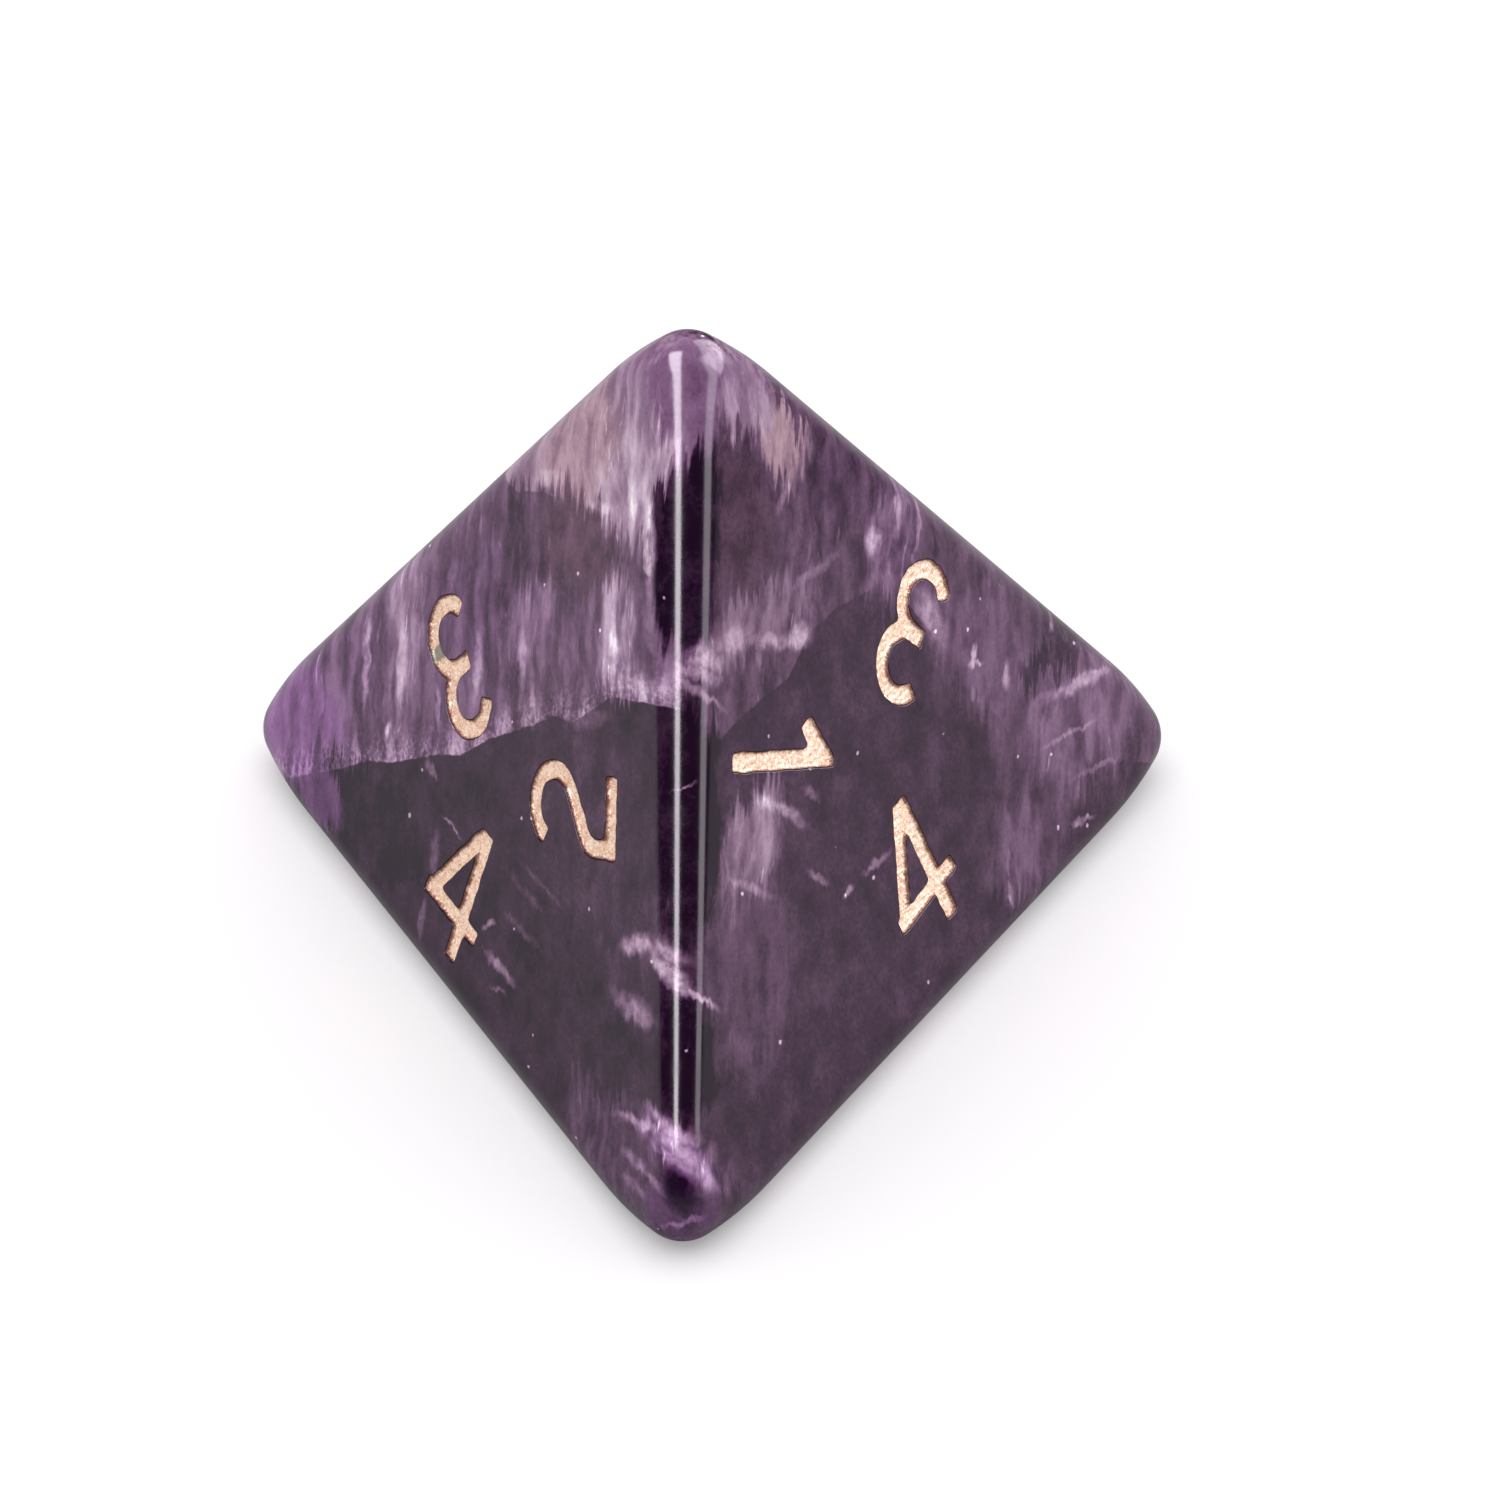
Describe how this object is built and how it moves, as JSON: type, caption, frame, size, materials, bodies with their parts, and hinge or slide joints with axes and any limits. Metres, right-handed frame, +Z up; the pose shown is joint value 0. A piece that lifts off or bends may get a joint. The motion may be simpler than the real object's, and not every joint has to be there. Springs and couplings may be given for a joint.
{
  "type": "polyhedral die",
  "caption": "Tetrahedral gaming die of polished stone with rounded edges and engraved, paint-filled numerals that are read along its lower edge.",
  "frame": {"origin": "middle of the resting face (face 4), on the surface that the die stands on", "axes": "+Z up from the resting face to the apex corner, -Y towards the front corner, +X towards the right corner"},
  "size_m": [0.02, 0.0177, 0.0167],
  "materials": {
    "amethyst": "polished banded amethyst, charcoal purple with pale fibres",
    "numeral_paint": "rose-gold metallic paint, satin, slightly grainy"
  },
  "bodies": {
    "root": {"stone_body": "amethyst", "paint_face1_numeral2": "numeral_paint", "paint_face1_numeral3": "numeral_paint", "paint_face1_numeral4": "numeral_paint", "paint_face2_numeral1": "numeral_paint", "paint_face2_numeral3": "numeral_paint", "paint_face2_numeral4": "numeral_paint", "paint_face3_numeral1": "numeral_paint", "paint_face3_numeral2": "numeral_paint", "paint_face3_numeral4": "numeral_paint", "paint_face4_numeral1": "numeral_paint", "paint_face4_numeral2": "numeral_paint", "paint_face4_numeral3": "numeral_paint"}
  },
  "joints": []
}
